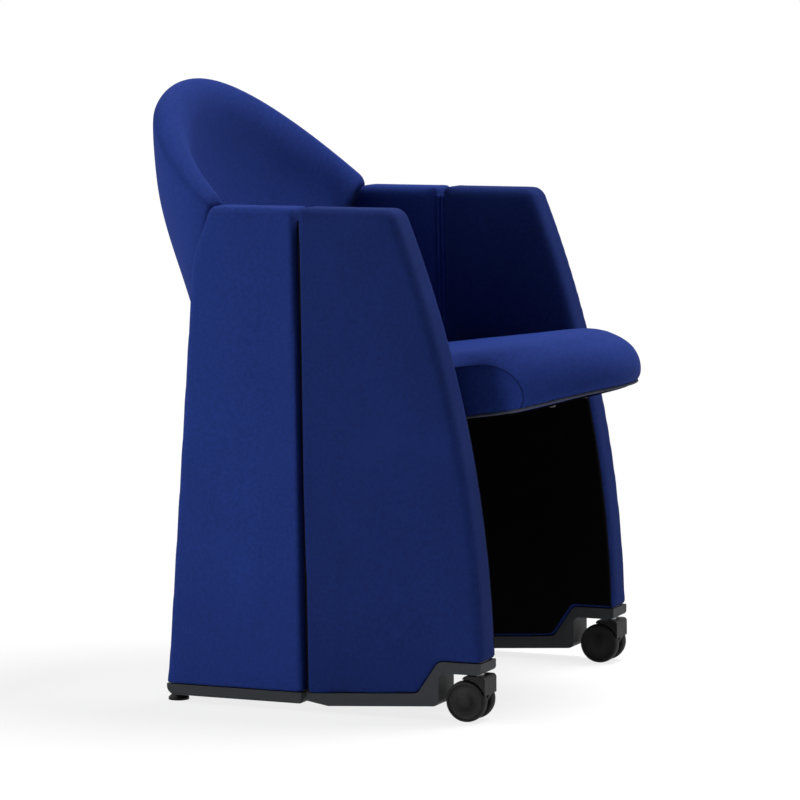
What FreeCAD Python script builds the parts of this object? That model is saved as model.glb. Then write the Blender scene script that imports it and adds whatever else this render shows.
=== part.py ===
import FreeCAD
import Part
import math
import os

# Folding conference chair, in millimetres.
# The chair faces -Y and +Z is up. The model is drawn with y = 0 on the seam between the rear halves and
# the wings, and moved at the end so that the origin lies on the floor under the middle of its box.
# "left" is the sitter's left, at +X. The left side is drawn, and the right side is its mirror image.

V = FreeCAD.Vector

# Side panels
body_width = 540.0
panel_thickness = 54.0
arm_height = 667.0
seam_gap = 7.0
seam_lean = 8.0
edge_round = 11.0
seam_round = 3.0
core_thickness = 22.0
core_inset = 18.0

# Rear half of a side, reaches measured back from the seam
rear_foot_reach = 206.0
rear_kink_reach = 161.0
rear_kink_drop = 70.0
rear_top_reach = 134.0
rear_corner_round = 11.0
rear_kink_round = 60.0

# Wing, reaches measured forward from the seam
wing_top_reach = 130.0
wing_foot_lead = 13.0
wing_bow = 28.0
wing_corner_round = 18.0

# Base trims
trim_bottom = 10.0
trim_height = 15.0
trim_rise = 10.0
trim_inset = 1.0
trim_round = 3.0
arch_room = 48.0
arch_slope = 30.0
arch_height = 64.0
arch_band = 15.0
arch_round = 12.0

# Black inner linings below the seat
lining_thickness = 2.0
lining_margin = 9.0
lining_drop = 97.0

# Hinges in the seam
hinge_low = 125.0
hinge_drop = 107.0
hinge_length = 90.0
knuckle_radius = 3.2
pin_radius = 1.8
pin_head = 1.5
pin_depth = 10.0
leaf_thickness = 2.0
leaf_width = 28.0
strip_width = 3.0
strip_depth = 16.0

# Back: a bowl-shaped shell with a round rim
back_thickness = 46.0
back_side_inset = 34.0
back_low_gap = 18.0
back_narrow_below = 137.0
back_narrow_above = 23.0
back_front = 120.0
back_lift = 6.0
back_reach = 284.0
back_reach_rise = 123.0
back_profile_radius = 665.0
back_rise = 159.0
back_rim_power = 1.14
back_end_gap = 1.5
back_core_thickness = 12.0
back_core_cover = 14.0
bracket_thickness = 4.0
bracket_height = 50.0
bracket_lift = 32.0
bracket_lap = 50.0

# Seat
seat_side_gap = 12.0
seat_taper = 30.0
seat_rear = 140.0
seat_nose = 354.0
seat_bow = 76.0
seat_level = 442.0
seat_rake = 7.5
seat_thickness = 82.0
seat_round = 42.0
seat_side_round = 58.0
seat_crown = 4.0
seat_tip_share = 0.6
seat_edge_drop = 11.0
pan_thickness = 5.0
pan_inset = 3.0

# Seat pivot
pivot_back = 66.0
pivot_drop = 25.3
tube_radius = 12.5
tube_wall = 2.0
flange_radius = 30.0
flange_thickness = 5.0
arm_inset = 54.0
arm_thickness = 8.0
arm_half_length = 55.0
eye_radius = 20.0
running_clearance = 0.08
stop_radius = 8.0
stop_back = 18.0
stop_reach = 24.0
touch_gap = 0.3

# Casters
wheel_radius = 27.5
wheel_width = 15.0
wheel_spread = 6.5
axle_radius = 3.0
stem_reach = 240.0
caster_trail = 13.0
stem_radius = 5.5
stem_top = 112.0
hood_gap = 3.0
hood_front = 15.0
hood_back = 17.0
hood_half_width = 20.0
hood_wheel_gap = 1.6
web_half_width = 5.4
mount_height = 36.0
mount_half_width = 15.0
mount_front = 7.5
mount_back = 26.0

# Rear glides
glide_radius = 14.0
glide_neck = 7.0
glide_base = 3.0
glide_inset = 7.0
glide_stem_radius = 4.0
glide_stem_length = 30.0

# Values worked out from the sizes above
outer_x = body_width / 2
inner_x = outer_x - panel_thickness
middle_x = (outer_x + inner_x) / 2
core_inner_x = middle_x - core_thickness / 2
core_outer_x = middle_x + core_thickness / 2
seam = seam_gap / 2
trim_top = trim_bottom + trim_height
arch_top = arch_height + arch_band
pin_x = inner_x + pin_depth
seat_slope = math.tan(math.radians(seat_rake))
rear_kink_height = arm_height - rear_kink_drop
wing_foot_reach = stem_reach + wing_foot_lead
arch_reach = stem_reach - arch_room
hinge_heights = (trim_top + hinge_low, arm_height - hinge_drop)
lining_top = seat_level - lining_drop
back_half_width = outer_x - back_side_inset
back_low_half_width = inner_x - back_low_gap
back_bottom = seat_level + back_lift
back_reach_height = arm_height + back_reach_rise
back_top = arm_height + back_rise
back_narrow_from = arm_height - back_narrow_below
back_narrow_to = arm_height + back_narrow_above
bracket_level = back_bottom + bracket_lift
seat_half_width = inner_x - seat_side_gap
seat_front_half_width = seat_half_width - seat_taper
pivot_height = seat_level - pivot_back * seat_slope - seat_thickness - pivot_drop
arm_spread = seat_half_width - arm_inset
glide_back = rear_foot_reach - glide_inset
wheel_y = -stem_reach + caster_trail
hood_top = arch_height - hood_gap
stem_seat = hood_top - wheel_radius - 2 * axle_radius
frame_shift = (seat_nose - back_reach - back_thickness / 2) / 2


def seam_at(z):
    """How far back the middle of the seam lies at a height: it leans back a little towards the top."""
    return seam_lean * (z - trim_top) / (arm_height - trim_top)


def lean(shape):
    """Tilt a shape drawn upright at y = 0 into the line of the seam."""
    tilt = math.degrees(math.atan2(seam_lean, arm_height - trim_top))
    tilted = shape.copy()
    tilted.rotate(V(0, 0, trim_top), V(1, 0, 0), -tilt)
    return tilted


def seam_slab(y_from, y_to):
    """Slab along the seam, between two distances from its middle."""
    low = seam_at(0)
    high = seam_at(arm_height)
    outline = [(low + y_from, 0), (low + y_to, 0), (high + y_to, arm_height), (high + y_from, arm_height)]
    return slab(outline, 0, outer_x)


def box(x_from, x_to, y_from, y_to, z_from, z_to):
    """Block between two corners."""
    return Part.makeBox(x_to - x_from, y_to - y_from, z_to - z_from, V(x_from, y_from, z_from))


def rod_x(radius, x_from, x_to, y, z):
    """Cylinder along X."""
    return Part.makeCylinder(radius, x_to - x_from, V(x_from, y, z), V(1, 0, 0))


def rod_z(radius, z_from, z_to, x, y):
    """Cylinder along Z."""
    return Part.makeCylinder(radius, z_to - z_from, V(x, y, z_from), V(0, 0, 1))


def slab(outline, x_from, x_to):
    """Side outline, given as (y, z) points, extruded along X."""
    points = [V(x_from, y, z) for y, z in outline]
    face = Part.Face(Part.makePolygon(points + points[:1]))
    return face.extrude(V(x_to - x_from, 0, 0))


def round_corners(solid, corners):
    """Round edges that run along X, given as (y, z, radius)."""
    for y, z, radius in corners:
        near = [e for e in solid.Edges if is_corner(e, y, z)]
        solid = solid.makeFillet(radius, near)
    return solid


def is_corner(edge, y, z):
    """Whether an edge runs along X at the point (y, z)."""
    ends = [v.Point for v in edge.Vertexes]
    return all(abs(p.y - y) < 0.01 and abs(p.z - z) < 0.01 for p in ends)


def middle_of(edge):
    """Point halfway along an edge."""
    return edge.valueAt((edge.FirstParameter + edge.LastParameter) / 2)


def on_seam(point, end):
    """Whether a point lies on the end of a panel, at a distance from the middle of the seam."""
    return abs(point.y - seam_at(point.z) - end) < 0.01


def soften(solid, end, low):
    """Round the rims of both faces of a panel above a height, then the end that faces the seam."""
    rims = []
    for edge in solid.Edges:
        p = middle_of(edge)
        on_face = min(abs(p.x - inner_x), abs(p.x - outer_x)) < 0.01
        if on_face and p.z > low and not on_seam(p, end):
            rims.append(edge)
    solid = solid.makeFillet(edge_round, rims)
    ends = []
    for edge in solid.Edges:
        points = [v.Point for v in edge.Vertexes] + [middle_of(edge)]
        if all(on_seam(p, end) for p in points) and points[-1].z > low:
            ends.append(edge)
    return solid.makeFillet(seam_round, ends)


def rear_outline(inset):
    """Outline of the rear half, drawn in by an inset at the rear and the top."""
    return [
        (seam, trim_top),
        (rear_foot_reach - inset, trim_top),
        (rear_kink_reach - inset, rear_kink_height - inset / 3),
        (rear_top_reach - inset, arm_height - inset),
        (seam_at(arm_height - inset) + seam, arm_height - inset),
    ]


def rear_panel():
    """Padded outside form of the rear half."""
    solid = slab(rear_outline(0), inner_x, outer_x)
    corners = [
        (rear_top_reach, arm_height, rear_corner_round),
        (rear_kink_reach, rear_kink_height, rear_kink_round),
    ]
    return soften(round_corners(solid, corners), seam, trim_top + edge_round)


def wing_base():
    """Line where the padding of the wing meets its base trim, from the seam to the front."""
    return [
        (-seam, trim_top),
        (-arch_reach + arch_slope, trim_top + trim_rise),
        (-arch_reach, arch_top),
        (-wing_foot_reach, arch_top),
    ]


def wing_front(inset):
    """Bowed front edge of the wing, from the foot to the top."""
    foot = V(inner_x, -wing_foot_reach + inset, arch_top)
    top = V(inner_x, -wing_top_reach + inset, arm_height - inset)
    along = top.sub(foot)
    out = V(0, -along.z, along.y).normalize()
    middle = foot.add(along.multiply(0.5)).add(out.multiply(wing_bow))
    return Part.Arc(foot, middle, top).toShape()


def wing_form(inset, x_from, x_to):
    """Wing outline with its bowed front, extruded along X."""
    front = wing_front(inset)
    foot = front.Vertexes[0].Point
    top = front.Vertexes[-1].Point
    path = [V(inner_x, y, z) for y, z in wing_base()[:-1]]
    start = [V(inner_x, seam_at(top.z) - seam, top.z)] + path + [foot]
    lines = [Part.makeLine(a, b) for a, b in zip(start[:-1], start[1:])]
    lines += [front, Part.makeLine(top, start[0])]
    solid = Part.Face(Part.Wire(lines)).extrude(V(x_to - x_from, 0, 0))
    solid.translate(V(x_from - inner_x, 0, 0))
    low, high = wing_base()[1], wing_base()[2]
    return round_corners(solid, [(*low, arch_round), (*high, arch_round)])


def wing_panel():
    """Padded outside form of the wing."""
    solid = wing_form(0, inner_x, outer_x)
    solid = round_corners(solid, [(-wing_top_reach, arm_height, wing_corner_round)])
    return soften(solid, -seam, arch_top + edge_round)


def rear_trim():
    """Base trim of the rear half, turned up at its rear end."""
    x_from = inner_x + trim_inset
    x_to = outer_x - trim_inset
    end = rear_foot_reach - trim_inset
    outline = [(seam, trim_top), (seam, trim_bottom), (end, trim_bottom), (end, trim_top)]
    solid = slab(outline, x_from, x_to)
    corners = [(end, trim_bottom, trim_height * 0.8), (seam, trim_bottom, trim_height * 0.4)]
    solid = round_corners(solid, corners)
    return soften_trim(solid, x_from, x_to, trim_bottom)


def wing_trim():
    """Base trim of the wing, which steps up over the caster as an arch."""
    x_from = inner_x + trim_inset
    x_to = outer_x - trim_inset
    front = -wing_foot_reach + trim_inset
    heel = trim_bottom + trim_rise
    under = [
        (front, arch_top),
        (front, arch_height),
        (-arch_reach, arch_height),
        (-arch_reach, heel),
        (-seam - 2 * trim_height, trim_bottom),
        (-seam, trim_bottom + trim_height / 3),
    ]
    solid = slab(wing_base()[:-1] + under, x_from, x_to)
    low, high = wing_base()[1], wing_base()[2]
    corners = [
        (*low, arch_round),
        (*high, arch_round),
        (-arch_reach, arch_height, arch_round * 0.7),
        (-arch_reach, heel, arch_round * 0.7),
        (front, arch_height, arch_band * 0.4),
    ]
    return round_corners(solid, corners)


def soften_trim(solid, x_from, x_to, level):
    """Round the lower long edges of a trim."""
    low = []
    for edge in solid.Edges:
        p = middle_of(edge)
        on_face = min(abs(p.x - x_from), abs(p.x - x_to)) < 0.01
        if on_face and abs(p.z - level) < 0.01:
            low.append(edge)
    return solid.makeFillet(trim_round, low)


def lining(form, front_y, rear_y):
    """Thin panel on the inner face of a side, below the seat, inside a side form."""
    thin = box(inner_x - lining_thickness, inner_x, front_y, rear_y, 0, lining_top)
    return thin.common(form)


def hinge_leaf(sign, owned):
    """Leaves and knuckles of one half. sign is 1 behind the seam, -1 in front, owned lists its knuckles."""
    solids = []
    for height in hinge_heights:
        bottom = height - hinge_length / 2
        plate = box(pin_x, pin_x + leaf_width, seam, seam + leaf_thickness, bottom, bottom + hinge_length)
        share = hinge_length / 3
        for number in owned:
            z_from = bottom + number * share + touch_gap / 2
            z_to = bottom + (number + 1) * share - touch_gap / 2
            barrel = rod_z(knuckle_radius, z_from, z_to, pin_x, 0)
            web = box(pin_x, pin_x + knuckle_radius, 0, seam, z_from, z_to)
            plate = plate.fuse([barrel, web])
        bore = pin_radius if sign > 0 else pin_radius + running_clearance
        plate = plate.cut(rod_z(bore, bottom - 1, bottom + hinge_length + 1, pin_x, 0))
        solids.append(plate.removeSplitter())
    leaf = Part.makeCompound(solids)
    return lean(leaf if sign > 0 else leaf.mirror(V(0, 0, 0), V(0, 1, 0)))


def hinge_room(sign):
    """Pocket in the padding for the leaves."""
    pockets = []
    for height in hinge_heights:
        bottom = height - hinge_length / 2 - touch_gap
        top = height + hinge_length / 2 + touch_gap
        pockets.append(box(pin_x - touch_gap, pin_x + leaf_width + touch_gap, 0, seam + leaf_thickness, bottom, top))
    room = Part.makeCompound(pockets)
    return lean(room if sign > 0 else room.mirror(V(0, 0, 0), V(0, 1, 0)))


def hinge_pins():
    """Pins of both hinges, each with a small head."""
    pins = []
    for height in hinge_heights:
        bottom = height - hinge_length / 2
        top = height + hinge_length / 2
        head = rod_z(pin_radius + pin_head / 2, top, top + pin_head, pin_x, 0)
        pins.append(rod_z(pin_radius, bottom, top, pin_x, 0).fuse(head).removeSplitter())
    return lean(Part.makeCompound(pins))


def back_half_width_at(z):
    """Half width of the middle of the back shell, which narrows to pass between the sides."""
    share = (z - back_narrow_from) / (back_narrow_to - back_narrow_from)
    share = min(max(share, 0.0), 1.0)
    ease = share * share * (3 - 2 * share)
    return back_low_half_width + (back_half_width - back_low_half_width) * ease


def back_point(turn, z, offset):
    """Point of the back shell at a turn round from the left end, offset outward from its middle."""
    fall = z - back_reach_height
    reach = back_reach - back_profile_radius + math.sqrt(back_profile_radius ** 2 - fall ** 2)
    wide = back_half_width_at(z) + offset
    deep = reach - back_front + offset
    return V(wide * math.cos(turn), back_front + deep * math.sin(turn), z)


def back_section(turn, inner, outer, cover):
    """Closed section of the back shell between two offsets, with a round rim a cover below the top."""
    middle = (inner + outer) / 2
    half = (outer - inner) / 2
    low_rim = arm_height - back_thickness / 2
    high_rim = back_top - back_thickness / 2
    rim = low_rim + (high_rim - low_rim) * math.sin(turn) ** back_rim_power
    rim += back_thickness / 2 - half - cover
    steps = 7
    levels = [back_bottom + (rim - back_bottom) * n / steps for n in range(steps + 1)]
    outside = Part.BSplineCurve()
    outside.interpolate([back_point(turn, z, outer) for z in levels])
    inside = Part.BSplineCurve()
    inside.interpolate([back_point(turn, z, inner) for z in reversed(levels)])
    tip = back_point(turn, rim, middle)
    tip.z += half
    rim_arc = Part.Arc(back_point(turn, rim, outer), tip, back_point(turn, rim, inner))
    base = Part.makeLine(back_point(turn, back_bottom, inner), back_point(turn, back_bottom, outer))
    return Part.Wire([outside.toShape(), rim_arc.toShape(), inside.toShape(), base])


def back_shell(inner, outer, cover, end_gap):
    """Bowl between two offsets, with its ends set a gap behind the rear edges of the sides."""
    count = 12
    sections = [back_section(math.pi * n / count, inner, outer, cover) for n in range(count + 1)]
    bowl = Part.makeLoft(sections, True, False)
    kink = rear_kink_reach + end_gap
    slope = (rear_kink_reach - rear_top_reach) / (arm_height - rear_kink_height)
    rise = 40.0
    ahead = [
        (0, back_bottom - rise),
        (kink, back_bottom - rise),
        (kink, rear_kink_height),
        (rear_top_reach + end_gap - slope * rise, arm_height + rise),
        (0, arm_height + rise),
    ]
    return bowl.cut(slab(ahead, -outer_x - rise, outer_x + rise))


def back_bracket():
    """Bent plate from the core of the rear half to the core of the back."""
    low = bracket_level
    high = bracket_level + bracket_height
    bend = rear_kink_reach + back_end_gap + bracket_thickness + 7
    outer = core_inner_x
    side = box(outer - bracket_thickness, outer, bend - bracket_lap, bend, low, high)
    back = box(back_low_half_width, outer, bend - bracket_thickness, bend, low, high)
    return side.fuse(back).removeSplitter()


def seat_half_width_at(y):
    """Half width of the seat, which narrows to the front."""
    share = (seat_rear - y) / (seat_rear + seat_nose)
    return seat_half_width - (seat_half_width - seat_front_half_width) * share


def seat_nose_at(share):
    """Front of the seat at a share of its half width, bowed forward in the middle."""
    return -seat_nose + seat_bow * abs(share) ** 2.2


def seat_section(share, low, thickness, drop, nose_round):
    """Section of the seat at a share of its half width, from a level below the seat line upward."""
    nose = seat_nose_at(share)
    rear = seat_rear
    tip_level = low + thickness * seat_tip_share

    def place(y, up):
        z = seat_level - y * seat_slope - seat_thickness + up
        return V(share * seat_half_width_at(y), y, z)

    top = low + thickness - drop
    bend = nose + nose_round
    knee = 0.29
    crown = (rear + bend) / 2
    upper_mid = place(nose + nose_round * knee, top - (top - tip_level) * knee)
    lower_mid = place(nose + nose_round * knee, low + (tip_level - low) * knee)
    return Part.Wire([
        Part.makeLine(place(rear, low), place(rear, top - seat_crown)),
        Part.Arc(place(rear, top - seat_crown), place(crown, top), place(bend, top)).toShape(),
        Part.Arc(place(bend, top), upper_mid, place(nose, tip_level)).toShape(),
        Part.Arc(place(nose, tip_level), lower_mid, place(bend, low)).toShape(),
        Part.makeLine(place(bend, low), place(rear, low)),
    ])


def seat_cushion():
    """Cushion with a crowned top, a round nose that bows forward and dropped side edges."""
    depth = seat_thickness - pan_thickness
    sections = []
    for share in (-1.0, -0.94, -0.6, 0.0, 0.6, 0.94, 1.0):
        edge = abs(share) ** 20
        drop = seat_edge_drop * edge
        nose_round = seat_round + (seat_side_round - seat_round) * edge
        sections.append(seat_section(share, pan_thickness, depth, drop, nose_round))
    return Part.makeLoft(sections, True, False)


def seat_pan():
    """Board under the cushion."""
    shares = (-1.0, -0.5, 0.0, 0.5, 1.0)
    sections = []
    for share in shares:
        nose = seat_nose_at(share) + seat_round * 0.9
        corners = []
        for y, up in ((seat_rear - pan_inset, 0), (seat_rear - pan_inset, pan_thickness), (nose, pan_thickness), (nose, 0)):
            z = seat_level - y * seat_slope - seat_thickness + up
            corners.append(V(share * (seat_half_width_at(y) - pan_inset), y, z))
        sections.append(Part.makePolygon(corners + corners[:1]))
    return Part.makeLoft(sections, True, False)


def seat_arm():
    """Arm under the pan with the eye that turns on the cross tube."""
    def under(y):
        return seat_level - y * seat_slope - seat_thickness

    x_from = arm_spread - arm_thickness / 2
    x_to = arm_spread + arm_thickness / 2
    front = pivot_back - arm_half_length
    rear = pivot_back + arm_half_length
    outline = [
        (front, under(front)),
        (rear, under(rear)),
        (pivot_back + eye_radius * 0.8, pivot_height - eye_radius * 0.6),
        (pivot_back - eye_radius * 0.8, pivot_height - eye_radius * 0.6),
    ]
    plate = slab(outline, x_from, x_to)
    eye = rod_x(eye_radius, x_from - arm_thickness / 2, x_to + arm_thickness / 2, pivot_back, pivot_height)
    bore = rod_x(tube_radius + running_clearance, x_from - arm_thickness, x_to + arm_thickness, pivot_back, pivot_height)
    return plate.fuse(eye).cut(bore).removeSplitter()


def caster_wheel():
    """Wheel with a round tread and a dished face, turned about the axle, from its inner face outward."""
    tread = 2.5
    dish = 1.4
    bore = axle_radius + running_clearance
    hub = wheel_radius * 0.28
    rim = wheel_radius * 0.8
    profile = [
        (0, bore),
        (0, wheel_radius - tread),
        (tread, wheel_radius),
        (wheel_width - tread * 1.5, wheel_radius),
        (wheel_width, wheel_radius - tread * 1.5),
        (wheel_width, rim + dish),
        (wheel_width - dish, rim),
        (wheel_width - dish, hub + dish),
        (wheel_width, hub),
        (wheel_width, bore),
    ]
    points = [V(middle_x + wheel_spread + x, wheel_y, wheel_radius + r) for x, r in profile]
    face = Part.Face(Part.makePolygon(points + points[:1]))
    return face.revolve(V(0, wheel_y, wheel_radius), V(1, 0, 0), 360)


def caster_hood():
    """Hood over the front of the wheels, with the web that holds the axle and the stem."""
    front = -stem_reach - hood_front
    back = -stem_reach + hood_back
    chin = wheel_radius * 0.75
    outline = [
        (back, hood_top),
        (front, hood_top),
        (front, wheel_radius * 1.35),
        (front + hood_front * 0.5, chin),
        (wheel_y, wheel_radius * 0.7),
        (back, wheel_radius * 1.6),
    ]
    hood = slab(outline, middle_x - hood_half_width, middle_x + hood_half_width)
    hood = round_corners(hood, [(front, hood_top, 5.0), (back, hood_top, 5.0)])
    clear = wheel_radius + hood_wheel_gap
    far = hood_half_width + wheel_width
    for x_from, x_to in ((-far, -web_half_width), (web_half_width, far)):
        hood = hood.cut(rod_x(clear, middle_x + x_from, middle_x + x_to, wheel_y, wheel_radius))
    web = slab(outline, middle_x - web_half_width, middle_x + web_half_width)
    boss = rod_x(axle_radius * 3, middle_x - web_half_width, middle_x + web_half_width, wheel_y, wheel_radius)
    hood = hood.fuse([boss, web.common(hood)])
    hood = hood.cut(rod_x(axle_radius, middle_x - far, middle_x + far, wheel_y, wheel_radius))
    return hood.cut(rod_z(stem_radius, hood_top - stem_seat, hood_top + 1, middle_x, -stem_reach)).removeSplitter()


def caster_mount():
    """Cast block in the foot of the wing that the caster stem turns in."""
    block = box(
        middle_x - mount_half_width, middle_x + mount_half_width,
        -stem_reach - mount_front, -stem_reach + mount_back,
        arch_top, arch_top + mount_height,
    )
    sleeve = rod_z(stem_radius * 1.6, arch_height, arch_top, middle_x, -stem_reach)
    bore = rod_z(stem_radius + running_clearance, 0, stem_top + touch_gap, middle_x, -stem_reach)
    return block.fuse(sleeve).cut(bore).removeSplitter()


def rear_glide():
    """Foot with a cone, a neck and a stem."""
    x, y = middle_x, glide_back
    base = rod_z(glide_radius, 0, glide_base, x, y)
    cone = Part.makeCone(glide_radius, glide_neck, trim_bottom - glide_base, V(x, y, glide_base), V(0, 0, 1))
    neck = rod_z(glide_neck, trim_bottom, trim_top, x, y)
    stem = rod_z(glide_stem_radius, trim_top, trim_top + glide_stem_length, x, y)
    return base.fuse([cone, neck, stem]).removeSplitter()



def left_side():
    """Every node of the left side, drawn at +X."""
    side = {}
    leaf_rear = hinge_leaf(1, (0, 2))
    leaf_front = hinge_leaf(-1, (1,))
    bracket = back_bracket()
    glide = rear_glide()
    tube = rod_x(tube_radius, 0, core_inner_x, pivot_back, pivot_height)
    stop_z = seat_level - stop_back * seat_slope - seat_thickness - touch_gap - stop_radius
    stop = rod_x(stop_radius, inner_x - stop_reach, core_inner_x, stop_back, stop_z)
    flange = rod_x(flange_radius, inner_x - flange_thickness, inner_x, pivot_back, pivot_height).cut(tube)
    strip_x = outer_x - strip_depth
    strip = lean(box(strip_x - strip_width, strip_x, -seam + 1, seam, trim_top, arm_height - core_inset))

    core = slab(rear_outline(core_inset), core_inner_x, core_outer_x)
    core = core.cut([seam_slab(0, seam + leaf_thickness), glide])
    padding = rear_panel().cut([core, hinge_room(1), bracket, tube, stop, glide])
    side["rear_core"] = core
    side["rear_upholstery"] = padding
    side["rear_trim"] = rear_trim().cut(glide)
    inner_form = slab(rear_outline(lining_margin), 0, outer_x)
    panel = lining(inner_form, seam + seam_lean / 2 + lining_margin, rear_foot_reach)
    hole = rod_x(flange_radius, 0, outer_x, pivot_back, pivot_height)
    base = box(0, outer_x, 0, rear_foot_reach, 0, trim_top + lining_margin)
    side["rear_lining"] = panel.cut([hole, stop, base])
    side["rear_glide"] = glide
    side["hinge_leaf_rear"] = leaf_rear
    side["hinge_pin"] = hinge_pins()
    side["seam_strip"] = strip
    side["pivot_flange"] = flange
    side["seat_stop"] = stop
    side["back_bracket"] = bracket

    mount = caster_mount()
    stem_room = rod_z(stem_radius + running_clearance, 0, stem_top + touch_gap, middle_x, -stem_reach)
    core = wing_form(core_inset, core_inner_x, core_outer_x)
    core = core.cut([seam_slab(-seam - leaf_thickness, 0), mount, stem_room])
    side["wing_core"] = core
    side["wing_upholstery"] = wing_panel().cut([core, hinge_room(-1), mount, stem_room])
    side["wing_trim"] = wing_trim().cut(rod_z(stem_radius * 1.6, 0, arch_top, middle_x, -stem_reach))
    panel = lining(wing_form(lining_margin, 0, outer_x), -wing_foot_reach, -seam - lining_margin)
    below = slab([(y, z + lining_margin) for y, z in wing_base()] + [(-wing_foot_reach, 0), (-seam, 0)], 0, outer_x)
    side["wing_lining"] = panel.cut(below)
    side["hinge_leaf_front"] = leaf_front
    side["caster_mount"] = mount

    side["caster_stem"] = rod_z(stem_radius, hood_top - stem_seat, stem_top, middle_x, -stem_reach)
    side["caster_hood"] = caster_hood()
    reach = wheel_spread + wheel_width - 2.0
    side["caster_axle"] = rod_x(axle_radius, middle_x - reach, middle_x + reach, wheel_y, wheel_radius)
    wheel = caster_wheel()
    side["caster_wheel_outer"] = wheel
    side["caster_wheel_inner"] = wheel.mirror(V(middle_x, 0, 0), V(1, 0, 0))
    side["seat_arm"] = seat_arm()
    return side


def chair():
    """Every node of the chair, by name."""
    nodes = {}
    for name, shape in left_side().items():
        nodes[name + "_left"] = shape
        nodes[name + "_right"] = shape.mirror(V(0, 0, 0), V(1, 0, 0))
    brackets = [nodes["back_bracket_left"], nodes["back_bracket_right"]]
    half = back_thickness / 2
    core_half = back_core_thickness / 2
    core = back_shell(-core_half, core_half, back_core_cover, back_end_gap + back_core_cover).cut(brackets)
    nodes["back_core"] = core
    nodes["back_upholstery"] = back_shell(-half, half, 0, back_end_gap).cut([core] + brackets)
    tube = rod_x(tube_radius, -core_inner_x, core_inner_x, pivot_back, pivot_height)
    bore = rod_x(tube_radius - tube_wall, -core_inner_x, core_inner_x, pivot_back, pivot_height)
    nodes["pivot_tube"] = tube.cut(bore)
    nodes["seat_cushion"] = seat_cushion()
    nodes["seat_pan"] = seat_pan()
    return nodes


def main():
    """Write one file for each node, in the frame of the whole chair."""
    os.makedirs("parts", exist_ok=True)
    for name, shape in chair().items():
        shape.translate(V(0, frame_shift, 0))
        if not shape.isValid() or not shape.Solids:
            raise ValueError("node " + name + " has no valid solid")
        shape.exportStep("parts/" + name + ".step")
        bounds = shape.BoundBox
        print(name, len(shape.Solids), "solids, y", round(bounds.YMin, 1), round(bounds.YMax, 1),
              "z", round(bounds.ZMin, 1), round(bounds.ZMax, 1))


main()
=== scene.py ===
"""Folding conference chair: soft covers, finishes and studio stage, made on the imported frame."""

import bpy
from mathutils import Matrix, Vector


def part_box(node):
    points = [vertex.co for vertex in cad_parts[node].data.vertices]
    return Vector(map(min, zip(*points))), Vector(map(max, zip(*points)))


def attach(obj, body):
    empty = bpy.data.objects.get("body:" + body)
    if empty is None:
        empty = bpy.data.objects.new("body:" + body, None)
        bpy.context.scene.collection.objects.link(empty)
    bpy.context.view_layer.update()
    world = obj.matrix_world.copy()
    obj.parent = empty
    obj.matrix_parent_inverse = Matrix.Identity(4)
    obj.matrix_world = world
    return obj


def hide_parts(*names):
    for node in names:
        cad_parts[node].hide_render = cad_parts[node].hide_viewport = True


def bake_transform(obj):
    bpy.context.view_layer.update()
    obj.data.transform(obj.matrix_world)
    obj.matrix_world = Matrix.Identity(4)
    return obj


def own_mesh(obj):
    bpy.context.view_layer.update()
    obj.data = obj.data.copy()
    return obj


bl_info = {
    "name": "Folding Conference Chair",
    "version": (1, 0, 0),
    "blender": (4, 5, 0),
    "location": "View3D > Sidebar > Chair",
    "description": "Makes the covers, finishes and stage of a folding conference chair on its packed frame",
    "category": "Object",
}

import math

import bmesh
import bpy
import numpy as np
from bpy.props import FloatProperty, FloatVectorProperty, PointerProperty
from mathutils import Euler, Vector
from mathutils.bvhtree import BVHTree

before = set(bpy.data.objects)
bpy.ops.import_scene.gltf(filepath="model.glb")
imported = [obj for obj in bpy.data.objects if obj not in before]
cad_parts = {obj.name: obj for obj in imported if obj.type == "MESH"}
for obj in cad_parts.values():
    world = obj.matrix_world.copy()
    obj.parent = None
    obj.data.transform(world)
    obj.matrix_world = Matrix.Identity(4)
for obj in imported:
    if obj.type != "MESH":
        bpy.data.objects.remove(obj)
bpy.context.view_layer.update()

SIDES = {"left": 1, "right": -1}

# Shape of the covers, in metres; y is measured from the foot of the seam, as on the solids
SEAM_Y = 0.0235
INNER_X = 0.216
OUTER_X = 0.270
FOOT_LEVEL = 0.025
ARM_LEVEL = 0.667
SEAM_LEAN = 0.008
SEAM_HALF_GAP = 0.0035
REAR_FOOT = 0.206
REAR_KINK = (0.161, 0.597)
REAR_TOP = 0.134
WING_TOP = 0.130
WING_FOOT = 0.253
WING_BOW = 0.028
ARCH_TOP = 0.079
ARCH_FRONT = 0.192
ARCH_BACK = 0.162
TRIM_RISE = 0.010
FOOT_ROUND = 0.003
KINK_ROUND = 0.060
REAR_TOP_ROUND = 0.011
SEAM_TOP_ROUND = 0.006
WING_TOP_ROUND = 0.018
ARCH_TOP_ROUND = 0.006
ARCH_FOOT_ROUND = 0.012
EDGE_RAMP = 0.020
CROWN_RAMP = 0.070
BACK_FRONT = 0.120
BACK_BOTTOM = 0.448
BACK_REACH = 0.284
BACK_REACH_LEVEL = 0.790
BACK_PROFILE_RADIUS = 0.665
BACK_RIM_LOW = 0.644
BACK_RIM_RISE = 0.159
BACK_RIM_POWER = 1.14
BACK_HALF_WIDTH = 0.236
BACK_LOW_HALF_WIDTH = 0.198
BACK_NARROW = (0.530, 0.690)
BACK_HALF_THICK = 0.023
BACK_INNER_ROLL = 0.030
BACK_END_ROUND = 0.008
BACK_GIRTH = 0.62
BACK_FOOT_POINTS = 4
BACK_SIDE_STEPS = 24
BACK_ROLL_STEPS = 8
BACK_END_STEPS = 6
BACK_END_GAP = 0.0012
BACK_END_RAMP = 0.020
BACK_SLIM = 0.001
SEAT_REAR = 0.140
SEAT_NOSE = 0.363
SEAT_BOW = 0.085
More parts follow.
